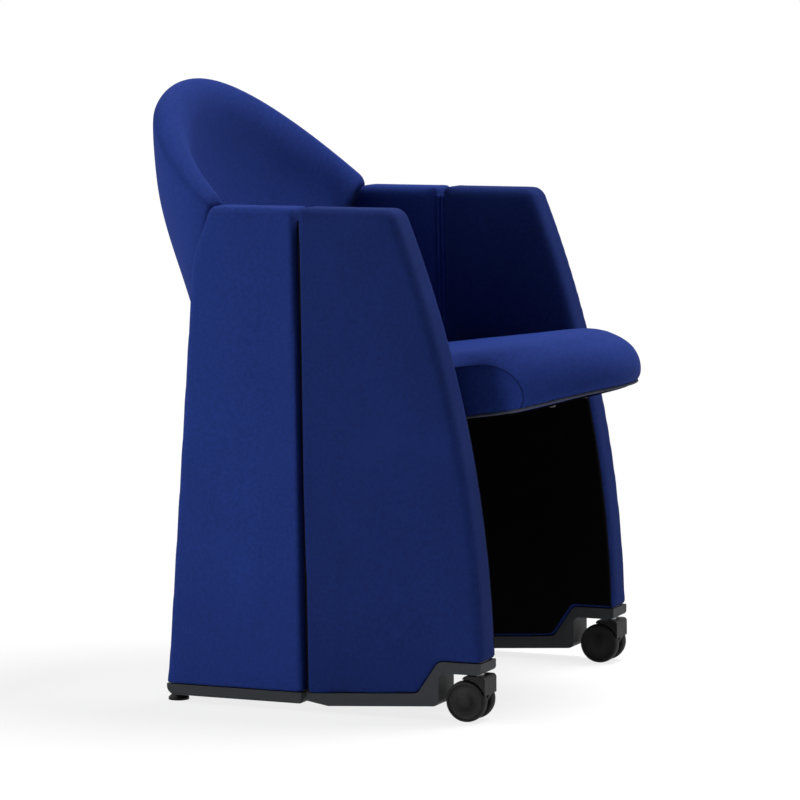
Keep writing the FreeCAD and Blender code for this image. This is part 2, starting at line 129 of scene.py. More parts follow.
SEAT_LEVEL = 0.442
SEAT_SLOPE = math.tan(math.radians(7.5))
SEAT_THICK = 0.082
SEAT_HALF_WIDTH = 0.204
SEAT_TAPER = 0.030
SEAT_EDGE_DROP = 0.011
SEAT_NOSE_LIFT = 0.009
SEAT_LIFT_START = 0.250
SEAT_LIFT_RAMP = 0.100
SEAT_FILL = 0.003
SEAT_SLIM = 0.003
SEAT_NOSE_ROUND = 0.060
SEAT_CORNER_ROUND = 0.012
SEAT_NOSE_TIP = 0.24
SEAT_UNDER_ROUND = 0.014
STRIP_FOOT = 0.045
STRIP_SHADE_LEVEL = 0.346
STRIP_TOP = 0.656
SHADE_FELT_INSET = 0.0045
SHADE_FELT_LAP = 0.004
SHADE_FELT_POINT_GAP = 0.003
BOARD_THICK = 0.0045
SHARP_ANGLE = math.radians(40)

# Steps of the seat's cut, and where its parts begin and end
SEAT_REAR_STEPS = 8
SEAT_TOP_STEPS = 40
SEAT_NOSE_STEPS = 14
SEAT_UNDER_STEPS = 9
TOP_FIRST = SEAT_REAR_STEPS
NOSE_LAST = SEAT_REAR_STEPS + SEAT_TOP_STEPS + SEAT_NOSE_STEPS + SEAT_UNDER_STEPS

# Filling of the covers
PANEL_VOXEL = 0.0055
SEAT_VOXEL = 0.005
FILL_PRESSURE = 4.0
FILL_FRAMES = 20
EVEN_ROUNDS = 14
SOFT_ROUNDS = 3


def length(name, words, value, least):
    """A length property of the chair."""
    return FloatProperty(name=name, description=words, default=value, min=least, unit="LENGTH")


class ChairSizes(bpy.types.PropertyGroup):
    """Sizes of the covers and their sewing."""

    edge_round: length("Edge Round", "Rounding of the panel edges", 0.0115, 0.004)
    seam_round: length("Seam Round", "Rounding where two halves meet", 0.0028, 0.001)
    panel_crown: length("Panel Crown", "How far the panel faces swell", 0.0032, 0.0)
    seat_swell: length("Seat Swell", "How far the seat cushion swells", 0.007, 0.0)
    back_swell: length("Back Swell", "How far the back swells", 0.0025, 0.0)
    piping_radius: length("Piping Radius", "Radius of the seat's piping", 0.0022, 0.0005)
    thread_pitch: length("Thread Pitch", "Distance between threads of the cloth", 0.0017, 0.0005)


def colour(name, words, value):
    """A colour property of the chair."""
    return FloatVectorProperty(
        name=name, description=words, default=value, size=3, min=0, max=1, subtype="COLOR")


class ChairColours(bpy.types.PropertyGroup):
    """Colours of the finishes, as linear values."""

    cloth: colour("Cloth", "Blue wool cloth of the covers", (0.0112, 0.0265, 0.148))
    trim: colour("Base Trim", "Grained plastic of the base trims", (0.017, 0.019, 0.023))
    # Black felt colour: painted shade, standing in for the deep shade low inside the sides and under the seat
    lining: colour("Lining", "Felt inside the sides and under the seat", (0.0022, 0.0022, 0.0026))
    plastic: colour("Feet", "Moulded plastic of hoods and glides", (0.004, 0.004, 0.0043))
    disc: colour("Wheel Disc", "Moulded faces of the wheels", (0.0045, 0.0045, 0.005))
    rubber: colour("Rubber", "Tyres, stops and seam strips", (0.006, 0.006, 0.006))
    board: colour("Board", "Pressed board inside the panels", (0.30, 0.19, 0.10))
    paint: colour("Steel Paint", "Powder coat of the seat fittings", (0.018, 0.018, 0.019))
    zinc: colour("Zinc", "Plated steel of hinges and stems", (0.60, 0.61, 0.62))
    casting: colour("Casting", "Cast metal of the caster mounts", (0.26, 0.26, 0.27))


# Shader maths


class Wire:
    """A socket's value, with Python's operators as Math nodes."""

    def __init__(self, finish, socket):
        self.finish = finish
        self.socket = socket

    def maths(self, operation, first, second=None):
        inputs = {0: first}
        if second is not None:
            inputs[1] = second
        return self.finish.add("ShaderNodeMath", {"operation": operation}, inputs)

    def __add__(self, other):
        return self.maths("ADD", self, other)

    def __radd__(self, other):
        return self.maths("ADD", other, self)

    def __mul__(self, other):
        return self.maths("MULTIPLY", self, other)

    def __truediv__(self, other):
        return self.maths("DIVIDE", self, other)

    def __pow__(self, other):
        return self.maths("POWER", self, other)

    def sine(self):
        return self.maths("SINE", self)

    def size(self):
        return self.maths("ABSOLUTE", self)


class Finish:
    """One procedural material, or another node tree, and its nodes."""

    def __init__(self, name, tree=None):
        if tree is None:
            self.material = bpy.data.materials.new(name)
            self.material.use_nodes = True
            tree = self.material.node_tree
        self.tree = tree
        self.tree.nodes.clear()

    def add(self, kind, settings=None, inputs=None, output=0):
        """Adds a node: its settings first, then its sockets' values or links. Returns one of its outputs."""
        node = self.tree.nodes.new(kind)
        for key, value in (settings or {}).items():
            setattr(node, key, value)
        for key, value in (inputs or {}).items():
            if isinstance(value, Wire):
                self.tree.links.new(value.socket, node.inputs[key])
            else:
                node.inputs[key].default_value = value
        return Wire(self, node.outputs[output]) if node.outputs else None

    def place(self):
        """Where a point lies on the piece at rest, in metres."""
        return self.add("ShaderNodeTexCoord", output="Object")

    def axes(self, vector):
        """The three parts of a vector."""
        split = self.add("ShaderNodeSeparateXYZ", inputs={0: vector})
        return [Wire(self, socket) for socket in split.socket.node.outputs]

    def noise(self, scale, detail=2.0, vector=None, roughness=0.5):
        inputs = {"Vector": vector or self.place(), "Scale": scale, "Detail": detail, "Roughness": roughness}
        return self.add("ShaderNodeTexNoise", inputs=inputs)

    def ramp(self, value, low, high):
        """The value spread from 0 at low to 1 at high."""
        return self.add("ShaderNodeMapRange", {"interpolation_type": "SMOOTHSTEP"},
                        {"Value": value, "From Min": low, "From Max": high})

    def mix(self, share, first, second):
        """A colour between two, by a share."""
        first, second = [tone if isinstance(tone, Wire) else (*tone[:3], 1) for tone in (first, second)]
        return self.add("ShaderNodeMix", {"data_type": "RGBA"}, {0: share, 6: first, 7: second}, 2)

    def bump(self, height, distance, strength=1.0):
        inputs = {"Height": height, "Distance": distance, "Strength": strength}
        return self.add("ShaderNodeBump", inputs=inputs)

    def surface(self, **values):
        """Closes the material with its shader; keys are the shader's sockets with _ for spaces."""
        inputs = {key.replace("_", " "): value for key, value in values.items()}
        for key in ("Base Color", "Sheen Tint"):
            if key in inputs and not isinstance(inputs[key], Wire):
                inputs[key] = (*inputs[key][:3], 1)
        shader = self.add("ShaderNodeBsdfPrincipled", inputs=inputs)
        self.add("ShaderNodeOutputMaterial", inputs={"Surface": shader})
        return self.material


def times(value, factor):
    """A colour made lighter or darker."""
    return tuple(min(1.0, part * factor) for part in value[:3])


def cloth_finish(name, tone, pitch):
    """Plain-woven wool: crossing threads, mottled yarn and a soft nap."""
    cloth = Finish(name)
    place = cloth.place()
    x, y, z = cloth.axes(place)
    turns = 2 * math.pi / pitch
    wave_x = (x * turns).sine()
    wave_y = (y * turns).sine()
    wave_z = (z * turns).sine()
    normal = cloth.add("ShaderNodeNewGeometry", output="Normal")
    side_x, side_y, side_z = [part.size() ** 3.0 for part in cloth.axes(normal)]
    total = side_x + side_y + side_z
    threads = (wave_y * wave_z * side_x + wave_x * wave_z * side_y + wave_x * wave_y * side_z) / total
    yarn = cloth.noise(1400.0, 3.0, place)
    slub = cloth.noise(210.0, 2.0, place)
    drift = cloth.noise(7.0, 2.0, place)
    tint = cloth.ramp(yarn * 0.55 + slub * 0.3 + drift * 0.15 + threads * 0.09, 0.28, 0.72)
    mottled = cloth.mix(tint, times(tone, 0.70), times(tone, 1.30))
    worn = cloth.mix(cloth.ramp(drift, 0.58, 0.80) * 0.25, mottled, times(tone, 1.45))
    height = threads * 0.5 + yarn * 0.6
    return cloth.surface(Base_Color=worn, Roughness=0.82 + yarn * 0.16,
                         Normal=cloth.bump(height, 0.00035, 0.55), Sheen_Weight=0.02,
                         Sheen_Roughness=0.35, Sheen_Tint=(0.2, 0.3, 0.9), Specular_IOR_Level=0.06)


def grained_finish(name, tone, grain, depth, gloss, shine):
    """Moulded plastic: fine leather grain, flow marks and light scuffs."""
    skin = Finish(name)
    place = skin.place()
    cells = skin.add("ShaderNodeTexVoronoi", {"feature": "DISTANCE_TO_EDGE"},
                     {"Vector": place, "Scale": grain})
    pores = skin.noise(grain * 1.7, 3.0, place)
    drift = skin.noise(28.0, 3.0, place)
    scuffs = skin.ramp(skin.noise(95.0, 6.0, place, 0.7), 0.60, 0.74)
    flowing = skin.mix(drift, times(tone, 0.82), times(tone, 1.18))
    scuffed = skin.mix(scuffs * 0.28, flowing, times(tone, 2.2))
    height = skin.ramp(cells, 0.0, 0.18) * 0.7 + pores * 0.3
    return skin.surface(Base_Color=scuffed, Roughness=gloss + drift * 0.12 + scuffs * 0.08,
                        Normal=skin.bump(height, depth, 0.6), Specular_IOR_Level=shine)


def shade_felt_finish(name, tone):
    """Black felt that stands in for the deep shade under the seat (painted shade): matted fibres and lint."""
    felt = Finish(name)
    place = felt.place()
    fibres = felt.noise(900.0, 4.0, place, 0.7)
    mats = felt.noise(55.0, 3.0, place)
    lint = felt.ramp(felt.noise(420.0, 2.0, place), 0.70, 0.78)
    matted = felt.mix(mats * 0.6 + fibres * 0.4, times(tone, 0.6), times(tone, 1.7))
    dusted = felt.mix(lint * 0.35, matted, times(tone, 5.0))
    return felt.surface(Base_Color=dusted, Roughness=0.90 + fibres * 0.08,
                        Normal=felt.bump(fibres, 0.0005, 0.6), Specular_IOR_Level=0.01)


def rubber_finish(name, tone):
    """Rubber: dull, with dust rubbed in."""
    rubber = Finish(name)
    place = rubber.place()
    dust = rubber.ramp(rubber.noise(130.0, 5.0, place, 0.65), 0.50, 0.78)
    pores = rubber.noise(1500.0, 2.0, place)
    dulled = rubber.mix(dust * 0.35, tone, times(tone, 3.0))
    return rubber.surface(Base_Color=dulled, Roughness=0.62 + dust * 0.25,
                          Normal=rubber.bump(pores, 0.0001, 0.5), Specular_IOR_Level=0.15)


def board_finish(name, tone):
    """Pressed board: chips of wood and pale flecks."""
    board = Finish(name)
    place = board.place()
    chips = board.add("ShaderNodeTexVoronoi", {}, {"Vector": place, "Scale": 260.0})
    grain = board.noise(600.0, 4.0, place)
    chipped = board.mix(chips * 0.7 + grain * 0.3, times(tone, 0.6), times(tone, 1.35))
    return board.surface(Base_Color=chipped, Roughness=0.75 + grain * 0.15,
                         Normal=board.bump(chips, 0.0004, 0.5))


def painted_finish(name, tone):
    """Powder coat: a fine orange-peel skin, rubbed in places."""
    paint = Finish(name)
    place = paint.place()
    peel = paint.noise(520.0, 2.0, place)
    rubbed = paint.ramp(paint.noise(40.0, 5.0, place), 0.60, 0.75)
    toned = paint.mix(rubbed * 0.4, tone, times(tone, 2.4))
    return paint.surface(Base_Color=toned, Roughness=0.38 + peel * 0.14 + rubbed * 0.1,
                         Normal=paint.bump(peel, 0.0002, 0.5))


def plated_finish(name, tone, gloss):
    """Plated or cast metal: drawn lines, clouding and dull spots."""
    metal = Finish(name)
    place = metal.place()
    stretched = metal.add("ShaderNodeMapping", {}, {"Vector": place, "Scale": (1.0, 1.0, 0.08)})
    lines = metal.noise(1600.0, 3.0, stretched)
    clouds = metal.noise(75.0, 4.0, place)
    toned = metal.mix(clouds * 0.7 + lines * 0.3, times(tone, 0.72), times(tone, 1.18))
    return metal.surface(Base_Color=toned, Metallic=1.0, Roughness=gloss + clouds * 0.16 + lines * 0.08,
                         Normal=metal.bump(lines, 0.0001, 0.35))


def finish_named(name):
    """The finish of a material slot, made the first time it is asked for."""
    made = bpy.data.materials.get("chair_" + name)
    if made:
        return made
    tones = bpy.context.scene.chair_colours
    pitch = bpy.context.scene.chair_sizes.thread_pitch
    makers = {
        "upholstery": lambda: cloth_finish(name, tones.cloth, pitch),
        "sewing": lambda: cloth_finish(name, times(tones.cloth, 0.45), pitch),
        # Wing cloth: the same cloth at 0.62, a darker copy that paints the wings' shade beside the rear
        # halves (painted shade)
        "wing_painted_shade_cloth": lambda: cloth_finish(name, times(tones.cloth, 0.62), pitch),
        "piping": lambda: cloth_finish(name, (0.055, 0.060, 0.085), pitch),
        "base_trim": lambda: grained_finish(name, tones.trim, 900.0, 0.00025, 0.46, 0.16),
        # The black felt: painted shade under the seat and low inside the sides
        "lining": lambda: shade_felt_finish(name, tones.lining),
        "foot_plastic": lambda: grained_finish(name, tones.plastic, 1300.0, 0.00012, 0.34, 0.09),
        "wheel": lambda: grained_finish(name, tones.disc, 1500.0, 0.0001, 0.30, 0.10),
        "rubber": lambda: rubber_finish(name, tones.rubber),
        "core_board": lambda: board_finish(name, tones.board),
        "painted_steel": lambda: painted_finish(name, tones.paint),
        "bright_steel": lambda: plated_finish(name, tones.zinc, 0.22),
        "cast_mount": lambda: plated_finish(name, tones.casting, 0.42),
    }
    made = makers[name]()
    made.name = "chair_" + name
    return made


# Mesh making


def mesh_piece(name, points, faces):
    """A smooth-shaded mesh object in the scene."""
    mesh = bpy.data.meshes.new(name)
    mesh.from_pydata([tuple(point) for point in points], [], faces)
    if mesh.validate():
        raise RuntimeError("the mesh of %s had faults" % name)
    mesh.shade_smooth()
    piece = bpy.data.objects.new(name, mesh)
    bpy.context.scene.collection.objects.link(piece)
    return piece


def loft(rings, joined=False):
    """Points and faces of a skin over rings of equal length, capped, or joined end to end."""
    count = len(rings[0])
    points = [point for ring in rings for point in ring]
    faces = []
    rows = len(rings) if joined else len(rings) - 1
    for row in range(rows):
        here = row * count
        there = (row + 1) % len(rings) * count
        for step in range(count):
            after = (step + 1) % count
            faces.append((here + step, here + after, there + after, there + step))
    if not joined:
        faces.append(tuple(range(count - 1, -1, -1)))
        faces.append(tuple(len(points) - count + step for step in range(count)))
    return points, faces


def face_outward(piece):
    """Turn all faces of a closed piece outward."""
    work = bmesh.new()
    work.from_mesh(piece.data)
    bmesh.ops.recalc_face_normals(work, faces=work.faces)
    work.to_mesh(piece.data)
    work.free()


def blend_step(value):
    """Smooth step from 0 to 1."""
    value = np.clip(value, 0.0, 1.0)
    return value * value * (3 - 2 * value)


def rounded(corners, step=0.004):
    """A closed outline through corners (y, z, radius), with arcs at those that have a radius."""
    outline = []
    count = len(corners)
    for number, (y, z, radius) in enumerate(corners):
        here = Vector((y, z))
        before = Vector(corners[number - 1][:2]) - here
        after = Vector(corners[(number + 1) % count][:2]) - here
        if radius <= 0:
            outline.append(here)
            continue
        turn = before.angle(after)
        reach = radius / math.tan(turn / 2)
        middle = here + (before.normalized() + after.normalized()).normalized() * radius / math.sin(turn / 2)
        first = here + before.normalized() * reach - middle
        sweep = (math.pi - turn) * (1 if before.x * after.y - before.y * after.x < 0 else -1)
        pieces = max(3, int(radius * abs(sweep) / step))
        for part in range(pieces + 1):
            angle = sweep * part / pieces
            spoke = (first.x * math.cos(angle) - first.y * math.sin(angle),
                     first.x * math.sin(angle) + first.y * math.cos(angle))
            outline.append(middle + Vector(spoke))
    return outline


def spaced(outline, step=0.006):
    """The closed outline with points no further apart than a step."""
    found = []
    for number, here in enumerate(outline):
        there = outline[(number + 1) % len(outline)]
        pieces = max(1, math.ceil((there - here).length / step))
        found += [here.lerp(there, part / pieces) for part in range(pieces)]
    return found


def inset(outline, depths):
    """The closed outline moved inward, each point by its own depth."""
    count = len(outline)
    area = sum(outline[i - 1].x * outline[i].y - outline[i].x * outline[i - 1].y for i in range(count))
    turn = 1 if area > 0 else -1
    moved = []
    for number, here in enumerate(outline):
        before = (here - outline[number - 1]).normalized()
        after = (outline[(number + 1) % count] - here).normalized()
        inward = turn * (Vector((-before.y, before.x)) + Vector((-after.y, after.x)))
        inward.normalize()
        share = max(0.5, inward.dot(turn * Vector((-after.y, after.x))))
        moved.append(here + inward * depths[number] / share)
    return moved


def wing_front_arc(steps=40):
    """Front edge of a wing from its foot up: a flat arc that bows forward."""
    foot = Vector((-WING_FOOT, ARCH_TOP))
    top = Vector((-WING_TOP, ARM_LEVEL))
    chord = top - foot
    half = chord.length / 2
    radius = (half * half + WING_BOW * WING_BOW) / (2 * WING_BOW)
    outward = Vector((-chord.y, chord.x)).normalized()
    middle = foot.lerp(top, 0.5) - outward * (radius - WING_BOW)
    reach = math.asin(half / radius)
    along = chord.normalized()
    arc = []
    for number in range(steps + 1):
        angle = reach * (2 * number / steps - 1)
        arc.append(middle + outward * radius * math.cos(angle) + along * radius * math.sin(angle))
    return arc


def rear_outline():
    """Outline of a rear half, seen from the side."""
    corners = [
        (SEAM_HALF_GAP, FOOT_LEVEL, 0),
        (REAR_FOOT, FOOT_LEVEL, FOOT_ROUND),
        (*REAR_KINK, KINK_ROUND),
        (REAR_TOP, ARM_LEVEL, REAR_TOP_ROUND),
        (SEAM_HALF_GAP + SEAM_LEAN, ARM_LEVEL, SEAM_TOP_ROUND),
    ]
    return spaced(rounded(corners))


def wing_outline():
    """Outline of a wing, seen from the side, with the arch over its caster."""
    front = [(point.x, point.y, 0) for point in wing_front_arc()[1:-2]]
    corners = [
        (-SEAM_HALF_GAP + SEAM_LEAN, ARM_LEVEL, SEAM_TOP_ROUND),
        (-WING_TOP, ARM_LEVEL, WING_TOP_ROUND),
        *front[::-1],
        (-WING_FOOT, ARCH_TOP, FOOT_ROUND),
        (-ARCH_FRONT, ARCH_TOP, ARCH_TOP_ROUND),
        (-ARCH_BACK, FOOT_LEVEL + TRIM_RISE, ARCH_FOOT_ROUND),
        (-SEAM_HALF_GAP, FOOT_LEVEL, 0),
    ]
    return spaced(rounded(corners))


def seam_at(z):
    """How far back the middle of the seam lies at a height."""
    return SEAM_LEAN * (z - FOOT_LEVEL) / (ARM_LEVEL - FOOT_LEVEL)


def edge_rounds(outline):
    """Rounding at each point: full on the free edges, small along the seam and the base."""
    sizes = bpy.context.scene.chair_sizes
    rounds = []
    for point in outline:
        from_seam = abs(point.x - seam_at(point.y)) - SEAM_HALF_GAP
        base = FOOT_LEVEL if point.x > -ARCH_BACK else ARCH_TOP
        from_base = point.y - base - (TRIM_RISE if point.x < 0 and base == FOOT_LEVEL else 0)
        free = blend_step(min(from_seam, from_base) / EDGE_RAMP)
        rounds.append(sizes.seam_round + (sizes.edge_round - sizes.seam_round) * float(free))
    return rounds


def panel_rings(outline, sign):
    """Rings from the inner face over the rounded edges to the outer face."""
    rounds = edge_rounds(outline)
    steps = 6
    rings = []
    for face in (1, -1):
        quarter = []
        for number in range(steps + 1):
            angle = math.pi / 2 * number / steps
            edge = inset(outline, [radius * (1 - math.sin(angle)) for radius in rounds])
            ring = []
            for point, radius in zip(edge, rounds):
                away = radius * (1 - math.cos(angle))
                x = INNER_X + away if face == 1 else OUTER_X - away
                ring.append((sign * x, point.x + SEAM_Y, point.y))
            quarter.append(ring)
        rings += quarter if face == 1 else quarter[::-1]
    return rings


def remeshed(piece, voxel):
    """Give a closed piece an even mesh."""
    even = piece.modifiers.new("even", "REMESH")
    even.mode = "VOXEL"
    even.voxel_size = voxel
    piece.data = shown_mesh(piece)
    piece.modifiers.clear()


def shown_mesh(piece):
    """The piece's mesh as its modifiers leave it."""
    seen = piece.evaluated_get(bpy.context.evaluated_depsgraph_get())
    return bpy.data.meshes.new_from_object(seen)


def points_of(mesh):
    """The mesh's points as rows of numbers."""
    flat = np.empty(len(mesh.vertices) * 3, np.float32)
    mesh.vertices.foreach_get("co", flat)
    return flat.reshape(-1, 3).astype(float)


def normals_of(mesh):
    """The directions that the mesh's points face."""
    flat = np.empty(len(mesh.vertices) * 3, np.float32)
    mesh.vertex_normals.foreach_get("vector", flat)
    return flat.reshape(-1, 3).astype(float)


def set_points(mesh, points):
    """Move the mesh's points to new places."""
    mesh.vertices.foreach_set("co", points.astype(np.float32).ravel())
    mesh.update()


def stuff(piece, cap, voxel=None):
    """Fill a closed cover by cloth pressure and keep each point's move within its cap."""
    face_outward(piece)
    if voxel:
        remeshed(piece, voxel)
    mesh = piece.data
    rest = points_of(mesh)
    cloth = piece.modifiers.new("stuffing", "CLOTH")
    cloth.settings.quality = 5
    cloth.settings.use_pressure = True
    cloth.settings.uniform_pressure_force = FILL_PRESSURE
    cloth.settings.effector_weights.gravity = 0.0
    cloth.point_cache.frame_end = FILL_FRAMES
    for number in range(1, FILL_FRAMES + 1):
        bpy.context.scene.frame_set(number)
    filled = points_of(piece.evaluated_get(bpy.context.evaluated_depsgraph_get()).data)
    piece.modifiers.remove(cloth)
    bpy.context.scene.frame_set(1)
    outward = normals_of(mesh)
    limit = cap(rest)[:, None]
    swell = np.clip(((filled - rest) * outward).sum(axis=1, keepdims=True), 0.0, limit)
    near_mean = neighbour_mean(mesh)
    for repeat in range(EVEN_ROUNDS):
        swell = (swell + near_mean(swell)) / 2
    set_points(mesh, rest + outward * np.minimum(swell, limit))
    soften(piece)
    mesh.shade_smooth()
    finer = piece.modifiers.new("finer", "SUBSURF")
    finer.levels = 1
    finer.render_levels = 1


def neighbour_mean(mesh):
    """A function of values at the mesh's points: the mean over each point's neighbours."""
    edges = np.empty(len(mesh.edges) * 2, np.int32)
    mesh.edges.foreach_get("vertices", edges)
    first, second = edges.reshape(-1, 2).T
    near = np.bincount(edges, minlength=len(mesh.vertices))[:, None]

    def mean(values):
        total = np.zeros_like(values)
        np.add.at(total, first, values[second])
        np.add.at(total, second, values[first])
        return total / near

    return mean


def soften(piece):
    """Relax the mesh a little, without shrinking it."""
    points = points_of(piece.data)
    near_mean = neighbour_mean(piece.data)
    for weight in (0.5, -0.52) * SOFT_ROUNDS:
        points = points + weight * (near_mean(points) - points)
    set_points(piece.data, points)


def tube(name, path, radius, sides=8, closed=False):
    """A round bead along points."""
    path = [Vector(point) for point in path]
    rings = []
    up = None
    for number, here in enumerate(path):
        before = path[number - 1] if number or closed else here
        after = path[(number + 1) % len(path)] if closed or number + 1 < len(path) else here
        along = (after - before).normalized()
        if up is None:
            up = along.orthogonal().normalized()
        up = (up - along * up.dot(along)).normalized()
        other = along.cross(up)
        ring = []
        for side in range(sides):
            angle = 2 * math.pi * side / sides
            ring.append(here + (up * math.cos(angle) + other * math.sin(angle)) * radius)
        rings.append(ring)
    piece = mesh_piece(name, *loft(rings, closed))
    face_outward(piece)
    return piece


def on_cover(cover, path, sink):
    """The path's points moved on to a cover's surface, sunk by a depth."""
    mesh = shown_mesh(cover)
    points = [vertex.co for vertex in mesh.vertices]
    tree = BVHTree.FromPolygons(points, [face.vertices for face in mesh.polygons])
    bpy.data.meshes.remove(mesh)
    found = []
    for point in path:
        place, normal, face, distance = tree.find_nearest(Vector(point))
        found.append(place - normal * sink)
    for repeat in range(2):
        eased = [found[i - 1].lerp(found[i + 1], 0.5).lerp(found[i], 0.5) for i in range(1, len(found) - 1)]
        found = [found[0], *eased, found[-1]]
    return found


def dress(piece, body, finish):
    """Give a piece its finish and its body."""
    piece.data.materials.clear()
    piece.data.materials.append(finish_named(finish))
    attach(piece, body)
    return piece


# Pieces


def near_outline(outline):
    """A function of points: how far each lies from the outline, seen from the side."""
    line = np.array([(point.x + SEAM_Y, point.y) for point in outline])

    def distance(points):
        gaps = points[:, None, 1:] - line[None, :, :]
        return np.sqrt((gaps ** 2).sum(axis=2).min(axis=1))

    return distance


def padded_panel(name, outline, sign, body, node, finish):
    """One half of a side: a board padded on both faces, with a low crown."""
    sizes = bpy.context.scene.chair_sizes
    piece = mesh_piece(name, *loft(panel_rings(outline, sign)))
    distance = near_outline(outline)

    def cap(points):
        return 0.0004 + sizes.panel_crown * blend_step(distance(points) / CROWN_RAMP)

    stuff(piece, cap, PANEL_VOXEL)
    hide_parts(node)
    dress(piece, body, finish)
    return piece


class CHAIR_OT_rear_covers(bpy.types.Operator):
    """Make the padded covers of the rear halves"""

    bl_idname = "chair.rear_covers"
    bl_label = "Rear Covers"

    def execute(self, context):
        for side, sign in SIDES.items():
            padded_panel("cover_rear_" + side, rear_outline(), sign, "rear_unit",
                         "rear_upholstery_" + side, "upholstery")
        return {"FINISHED"}


class CHAIR_OT_wing_covers(bpy.types.Operator):
    """Make the padded covers of the wings"""

    bl_idname = "chair.wing_covers"
    bl_label = "Wing Covers"

    def execute(self, context):
        for side, sign in SIDES.items():
            # The wings take the darker copy of the cloth: painted shade
            padded_panel("cover_wing_" + side, wing_outline(), sign, "wing_" + side,
                         "wing_upholstery_" + side, "wing_painted_shade_cloth")
        return {"FINISHED"}


def back_reach(z):
    """How far back the middle face of the back lies at a height."""
    drop = z - BACK_REACH_LEVEL
    return BACK_REACH - BACK_PROFILE_RADIUS + math.sqrt(BACK_PROFILE_RADIUS ** 2 - drop * drop)


def back_half_width(z):
    """Half the width of the back's middle face at a height: less between the sides than above them."""
    low, high = BACK_NARROW
    share = float(blend_step((z - low) / (high - low)))
    return BACK_LOW_HALF_WIDTH + (BACK_HALF_WIDTH - BACK_LOW_HALF_WIDTH) * share


def back_rim(angle):
    """Height of the rim round the back."""
    return BACK_RIM_LOW + BACK_RIM_RISE * max(0.0, math.sin(angle)) ** BACK_RIM_POWER


def back_end(z):
    """Where the back ends in front, at the rear edges of the sides."""
    kink_y, kink_z = REAR_KINK
    share = min(1.0, max(0.0, (z - kink_z) / (ARM_LEVEL - kink_z)))
    return kink_y + (REAR_TOP - kink_y) * share + BACK_END_GAP


def back_point(angle, z, away):
    """A point at an angle round the back, at a height and at a distance from the middle face."""
    x = (back_half_width(z) + away) * math.cos(angle)
    y = BACK_FRONT + (back_reach(z) - BACK_FRONT + away) * math.sin(angle)
    return x, y, z


def back_profile(slim):
    """Shape of the back's cut: (share of the height, rise over the rim line, offset from the middle face)."""
    half = BACK_HALF_THICK - slim
    quarter = math.pi / 2 / BACK_ROLL_STEPS
    shape = []
    for number in range(BACK_SIDE_STEPS + 1):
        share = number / BACK_SIDE_STEPS
        shape.append((share, -BACK_INNER_ROLL * share, -half))
    for number in range(1, BACK_ROLL_STEPS + 1):
        angle = quarter * number
        rise = (half + BACK_INNER_ROLL) * math.sin(angle) - BACK_INNER_ROLL
        shape.append((1.0, rise, -half * math.cos(angle)))
    for number in range(1, BACK_ROLL_STEPS):
        angle = quarter * number
        shape.append((1.0, half * math.cos(angle), half * math.sin(angle)))
    for number in range(BACK_SIDE_STEPS + 1):
        shape.append((1 - number / BACK_SIDE_STEPS, 0.0, half))
    for number in range(1, BACK_FOOT_POINTS + 1):
        angle = math.pi * number / (BACK_FOOT_POINTS + 1)
        shape.append((0.0, -0.35 * half * math.sin(angle) + 0.0001, half * math.cos(angle)))
    return shape


def back_level(share, rise, angle, pull):
    """Height of one line of the back's cut."""
    low = BACK_BOTTOM + pull
    return low + share * (back_rim(angle) - low) + rise


def back_start(share, rise, away, slim, pull):
    """Angle at which one line of the back's cut meets the back's end."""
    angle = 0.3
    for repeat in range(12):
        z = back_level(share, rise, angle, pull)
        reach = (back_end(z) + slim - BACK_FRONT) / (back_reach(z) - BACK_FRONT + away)
        angle = math.asin(min(0.95, max(0.0, reach)))
    return angle


def back_cut(slim, place, pull):
    """One ring round the back's cut, drawn in by the pull, at a share of the way from end to end."""
    ring = []
    for share, rise, away in back_profile(slim + pull):
        start = back_start(share, rise, away, slim, pull)
        angle = start + (math.pi - 2 * start) * place
        x, y, z = back_point(angle, back_level(share, rise, angle, pull), away)
        ring.append((x, y + SEAM_Y, z))
    return ring


def back_rings(slim, steps=110):
    """Rings round the back's cut, from the left end to the right end, with round edges at both ends."""
    ends = []
    for number in range(BACK_END_STEPS + 1):
        turn = math.pi / 2 * number / BACK_END_STEPS
        place = BACK_END_ROUND * (1 - math.cos(turn)) / BACK_GIRTH
        ends.append((place, BACK_END_ROUND * (1 - math.sin(turn))))
    middle = [(number / steps, 0.0) for number in range(3, steps - 2)]
    far = [(1 - place, pull) for place, pull in reversed(ends)]
    return [back_cut(slim, place, pull) for place, pull in ends + middle + far]


def back_skin(slim):
    """Points and faces of the back, with rungs from the inner to the outer line across each end."""
    rings = back_rings(slim)
    points, faces = loft(rings)
    count = len(rings[0])
    across = count - 1 - BACK_FOOT_POINTS
    tip = across // 2
    del faces[-2:]
    for first in (0, len(points) - count):
        for number in range(-BACK_FOOT_POINTS // 2, tip - 1):
            rung = (number, number + 1, across - number - 1, across - number)
            faces.append(tuple(first + place % count for place in rung))
        faces.append((first + tip - 1, first + tip, first + tip + 1))
    return points, faces


class CHAIR_OT_back_cover(bpy.types.Operator):
    """Make the padded cover of the bowl-shaped back"""

    bl_idname = "chair.back_cover"
    bl_label = "Back Cover"

    def execute(self, context):
        swell = context.scene.chair_sizes.back_swell
        piece = mesh_piece("cover_back", *back_skin(BACK_SLIM))

        def cap(points):
            ends = np.array([back_end(z) + SEAM_Y for z in points[:, 2]])
            return 0.0006 + swell * blend_step((points[:, 1] - ends) / BACK_END_RAMP)

        stuff(piece, cap)
        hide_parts("back_upholstery")
        dress(piece, "rear_unit", "upholstery")
        return {"FINISHED"}


def seat_shares(steps):
    """Shares of the seat's half width, from right to left, closer together at the sides."""
    return [math.sin(math.pi / 2 * number / steps) for number in range(-steps, steps + 1)]


